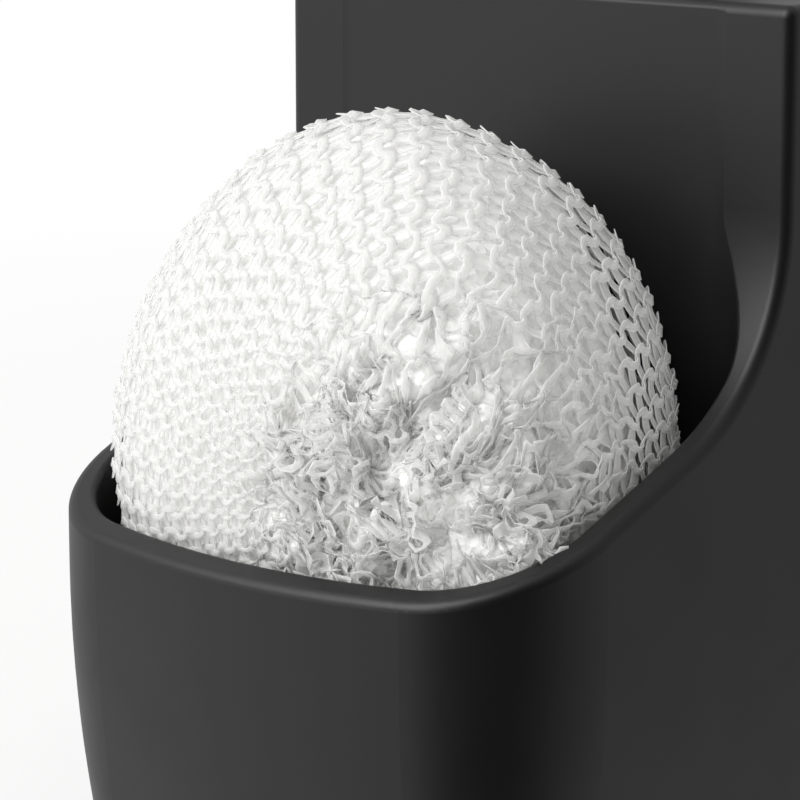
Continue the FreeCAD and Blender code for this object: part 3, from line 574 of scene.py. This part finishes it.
def fold_core(bun):
    """Mass of inner folds, close under the mesh and deeper at the right, where the holes look open."""
    under_gather = 1.6 * MM
    more_under_knit = 1.1 * MM
    more_at_right = 4.0 * MM
    form = bmesh.new()
    bmesh.ops.create_icosphere(form, subdivisions=6, radius=1.0)
    core = close_form(form, "scrubber_folds")
    rays = mesh_points(core)
    to_right = rays @ bun.side
    tilt = np.arccos(np.clip(rays @ bun.pole, -1, 1))
    around = np.arctan2(rays @ bun.up, to_right)
    depth = under_gather + more_under_knit * past_pole(tilt, 20, 50)
    depth += more_at_right * smooth_step(0.35, 0.85, to_right) * smooth_step(0.0, 0.4, np.sin(tilt))
    move_points(core, bun.surface(tilt, around, depth))
    return core


def wind(form, radius, wire, pitch, turns, sides=10, steps=24, start=0.0):
    """Adds a round wire wound about Z from height 0, with closed ends."""
    middle = (0, 0, 0)
    ring = bmesh.ops.create_circle(form, segments=sides, radius=wire / 2)["verts"]
    bmesh.ops.rotate(form, verts=ring, cent=middle, matrix=Matrix.Rotation(math.pi / 2, 3, "X"))
    bmesh.ops.translate(form, verts=ring, vec=(radius, 0, 0))
    bmesh.ops.rotate(form, verts=ring, cent=middle, matrix=Matrix.Rotation(start, 3, "Z"))
    edges = list(dict.fromkeys(edge for vert in ring for edge in vert.link_edges))
    bmesh.ops.spin(form, geom=[*ring, *edges], cent=middle, axis=(0, 0, 1), dvec=(0, 0, pitch / steps),
                   angle=math.tau * turns, steps=round(steps * turns))
    bmesh.ops.holes_fill(form, edges=[edge for edge in form.edges if edge.is_boundary], sides=sides)
    bmesh.ops.recalc_face_normals(form, faces=form.faces)


def tie_mesh(bun, strand):
    """Two strands twisted together through the bun, with a knot coiled round them at each end."""
    knot = 2.4 * MM
    twist_length = 5 * MM
    strand_offset = 0.52 * strand
    margin = 0.6 * strand
    coil_height = 0.8 * strand
    coil_pitch = 0.7 * strand
    coil_turns = 1.2
    tie_half = (TIE_HIGH - TIE_LOW) / 2
    pole = Vector(bun.pole)
    # Half length of the tie along the pole: its box is widened by the knots
    reach = tie_half.x * abs(pole.x) + tie_half.y * abs(pole.y) - 2 * knot * abs(pole.x * pole.y)
    form = bmesh.new()
    for turn in (0.0, math.pi):
        wind(form, strand_offset, strand, twist_length, 2 * (reach - strand) / twist_length, start=turn)
    bmesh.ops.translate(form, verts=form.verts, vec=(0, 0, strand - reach))
    for end in (margin - reach, reach - margin - coil_height):
        coil = bmesh.new()
        wind(coil, knot - strand / 2, strand, coil_pitch, coil_turns)
        bmesh.ops.translate(coil, verts=coil.verts, vec=(0, 0, end))
        form.from_mesh(close_form(coil, "knot"))
    turn_to_pole = Vector((0, 0, 1)).rotation_difference(pole).to_matrix().to_4x4()
    bmesh.ops.transform(form, verts=form.verts,
                        matrix=Matrix.Translation((TIE_LOW + TIE_HIGH) / 2) @ turn_to_pole)
    return close_form(form, "scrubber_tie_thread")


def lay_floor(scene, settings):
    """Floor of painted card, matt and even, that fades into a white backdrop."""
    half_width = 3.0
    form = bmesh.new()
    bmesh.ops.create_grid(form, x_segments=1, y_segments=1, size=half_width)
    mesh = close_form(form, "floor")
    floor = bpy.data.objects.new("floor", mesh)
    scene.collection.objects.link(floor)
    # The glaze mirrors the room past the floor's edge and not the floor
    floor.visible_glossy = False
    material, tree = new_material("pale_matt_floor")
    card = add_node(tree, "ShaderNodeBsdfPrincipled", {"Base Color": settings.floor, "Roughness": 0.8})
    white = add_node(tree, "ShaderNodeEmission", {"Color": WHITE, "Strength": 1.0})
    away = add_node(tree, "ShaderNodeVectorMath", {0: object_place(tree)}, operation="LENGTH")
    fade = remap(tree, away.outputs["Value"], 0.6, 1.0, ends=(0.12, 0.6))
    by_camera = add_node(tree, "ShaderNodeLightPath").outputs["Is Camera Ray"]
    seen = add_node(tree, "ShaderNodeMath", {0: fade, 1: by_camera}, operation="MULTIPLY").outputs[0]
    close_material(tree, blend(tree, seen, card, white))
    mesh.materials.append(material)


def light_room(scene, settings):
    """White backdrop for the camera, even air, and the room that the glaze mirrors."""
    world = bpy.data.worlds.new("studio")
    scene.world = world
    world.use_nodes = True
    tree = world.node_tree
    tree.nodes.clear()
    ray = add_node(tree, "ShaderNodeTexCoord").outputs["Generated"]

    def light(strength):
        return add_node(tree, "ShaderNodeBackground", {"Color": WHITE, "Strength": strength})

    def towards(direction):
        return add_node(tree, "ShaderNodeVectorMath", {0: ray, 1: direction},
                        operation="DOT_PRODUCT").outputs["Value"]

    # The room is white, duller to the right of the camera, with a dark aisle behind it
    walls = remap(tree, towards((0.746, 0.666, 0.0)), 0.92, 0.43, ends=(-1.0, 1.0))
    aisle = remap(tree, towards((0.666, -0.746, 0.0)), 1.0, 0.06, ends=(0.3, 0.85),
                  interpolation_type="SMOOTHSTEP")
    mirrored = add_node(tree, "ShaderNodeMath", {0: walls, 1: aisle}, operation="MULTIPLY").outputs[0]
    rays = add_node(tree, "ShaderNodeLightPath").outputs
    seen = add_node(tree, "ShaderNodeMath", {
        0: rays["Is Camera Ray"], 1: rays["Is Transmission Ray"]}, operation="MAXIMUM").outputs[0]
    lit = blend(tree, rays["Is Glossy Ray"], light(settings.air_strength), light(mirrored))
    sky = blend(tree, seen, lit, light(1.0))
    add_node(tree, "ShaderNodeOutputWorld", {"Surface": sky.outputs[0]})


def add_holder(scene, name, content, place, aim):
    """Lamp or camera at a place, turned to a point."""
    holder = bpy.data.objects.new(name, content)
    scene.collection.objects.link(holder)
    holder.location = place
    holder.rotation_euler = (Vector(aim) - Vector(place)).to_track_quat("-Z", "Y").to_euler()
    return holder


class CADDY_OT_body(bpy.types.Operator):
    """Glaze the ceramic body and give the feet their rubber"""

    bl_idname = "caddy.body"
    bl_label = "Ceramic body and feet"

    def execute(self, context):
        finish = context.scene.caddy_finish
        dress(black_glaze(finish), "caddy_body")
        dress(moulded("black_foot_rubber", finish.foot_rubber, roughness=0.75, texture=0.6 * MM),
              "foot_pad_front_left", "foot_pad_front_right", "foot_pad_rear_left", "foot_pad_rear_right")
        return {"FINISHED"}


class CADDY_OT_pump(bpy.types.Operator):
    """Give the pump its steel, plastics and seals"""

    bl_idname = "caddy.pump"
    bl_label = "Pump"

    def execute(self, context):
        finish = context.scene.caddy_finish
        dress(turned_steel("satin_stainless_steel", finish.satin_steel, roughness=0.3),
              "collar_shell", "head_shell", "spout", "stem_sleeve")
        dress(moulded("black_polypropylene", finish.neck_plastic, roughness=0.45, texture=0.4 * MM),
              "neck_ring", "collar_liner", "head_core")
        dress(moulded("natural_polypropylene", finish.pump_plastic, roughness=0.4, texture=0.5 * MM),
              "pump_barrel", "stem_guide", "plunger_stem", "piston_plug")
        dress(moulded("polyethylene_tube", finish.tube_plastic, roughness=0.35, texture=0.8 * MM), "dip_tube")
        dress(moulded("soft_seal_rubber", finish.seal_rubber, roughness=0.6, texture=0.4 * MM),
              "neck_gasket", "piston_seal")
        return {"FINISHED"}


class CADDY_OT_spring(bpy.types.Operator):
    """Wind the return spring"""

    bl_idname = "caddy.spring"
    bl_label = "Return spring"

    def execute(self, context):
        finish = context.scene.caddy_finish
        middle = (SPRING_LOW + SPRING_HIGH) / 2
        tall = SPRING_HIGH.z - SPRING_LOW.z
        wire = finish.spring_wire
        form = bmesh.new()
        wind(form, (SPRING_HIGH.x - SPRING_LOW.x - wire) / 2, wire, (tall - wire) / finish.spring_turns,
             finish.spring_turns)
        bmesh.ops.translate(form, verts=form.verts, vec=(middle.x, middle.y, SPRING_LOW.z + wire / 2))
        steel = turned_steel("drawn_spring_steel", finish.spring_steel, roughness=0.25)
        piece = new_piece("return_spring_wire", close_form(form, "return_spring_wire"), steel,
                          "pump_core", "spring_steel", "return_spring")
        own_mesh(piece)
        dress(steel, "check_ball")
        return {"FINISHED"}


class CADDY_OT_scrubber(bpy.types.Operator):
    """Knit the scrubber, gather it into its bun and tie it"""

    bl_idname = "caddy.scrubber"
    bl_label = "Knitted scrubber"

    def execute(self, context):
        settings = context.scene.caddy_scrubber
        bun = Bun(settings)
        film = nylon_film(settings)
        bands = (("scrubber_knit_front", settings.gather_start), ("scrubber_knit_back", math.pi / 2))
        for name, first in bands:
            mesh = knit_band(name, bun, settings, first)
            new_piece(name, mesh, film, "scrubber", "nylon_mesh", "scrubber_pad")

        patch = puff_patch(settings)
        reach = settings.gather_start + math.radians(13)
        # Each gather: name, its number of puffs, whether it is the back one, and its seed
        gathers = (
            ("scrubber_gather_front", settings.puffs, False, 12),
            ("scrubber_gather_back", settings.puffs // 2, True, 10),
        )
        for name, count, at_back, seed in gathers:
            mesh = gather_mesh(name, bun, patch, count, reach, at_back, seed)
            new_piece(name, mesh, film, "scrubber", "nylon_mesh", "scrubber_pad")

        folds = new_piece("scrubber_folds", fold_core(bun), nylon_bulk(settings),
                          "scrubber", "nylon_mesh", "scrubber_pad")

        thread = moulded("twisted_nylon_thread", settings.film, roughness=0.5, texture=0.3 * MM)
        new_piece("scrubber_tie_thread", tie_mesh(bun, settings.thread_width), thread,
                  "scrubber", "nylon_thread", "scrubber_tie")
        return {"FINISHED"}


class CADDY_OT_stage(bpy.types.Operator):
    """Set the floor, the light and the camera"""

    bl_idname = "caddy.stage"
    bl_label = "Stage"

    def execute(self, context):
        scene = context.scene
        settings = scene.caddy_stage
        scene.view_settings.view_transform = "Standard"
        lay_floor(scene, settings)
        light_room(scene, settings)

        lamp = bpy.data.lights.new("key", "AREA")
        lamp.size = 0.8
        lamp.energy = settings.key_power
        add_holder(scene, "key", lamp, place=(-0.27, -0.76, 0.70), aim=(0.0, -0.02, 0.05))

        camera = bpy.data.cameras.new("camera")
        camera.lens = settings.focal_length
        camera.sensor_width = 36.0
        camera.clip_start = 0.01
        scene.camera = add_holder(scene, "camera", camera, settings.eye, settings.aim)
        return {"FINISHED"}


class CADDY_PT_sidebar(bpy.types.Panel):
    """Steps that dress the caddy, in order"""

    bl_idname = "CADDY_PT_sidebar"
    bl_label = "Soap pump caddy"
    bl_space_type = "VIEW_3D"
    bl_region_type = "UI"
    bl_category = "Caddy"

    def draw(self, context):
        for step in STEPS:
            self.layout.operator(step.bl_idname)
        for name, group in GROUPS.items():
            for setting in group.__annotations__:
                self.layout.prop(getattr(context.scene, name), setting)


GROUPS = {"caddy_finish": CaddyFinish, "caddy_scrubber": CaddyScrubber, "caddy_stage": CaddyStage}
STEPS = (CADDY_OT_body, CADDY_OT_pump, CADDY_OT_spring, CADDY_OT_scrubber, CADDY_OT_stage)


def register():
    for name, group in GROUPS.items():
        bpy.utils.register_class(group)
        setattr(bpy.types.Scene, name, bpy.props.PointerProperty(type=group))
    for step in (*STEPS, CADDY_PT_sidebar):
        bpy.utils.register_class(step)


def unregister():
    for step in (CADDY_PT_sidebar, *reversed(STEPS)):
        bpy.utils.unregister_class(step)
    for name, group in GROUPS.items():
        delattr(bpy.types.Scene, name)
        bpy.utils.unregister_class(group)


def main():
    register()
    bpy.ops.caddy.body()
    bpy.ops.caddy.pump()
    bpy.ops.caddy.spring()
    bpy.ops.caddy.scrubber()
    bpy.ops.caddy.stage()


if __name__ == "__main__":
    main()
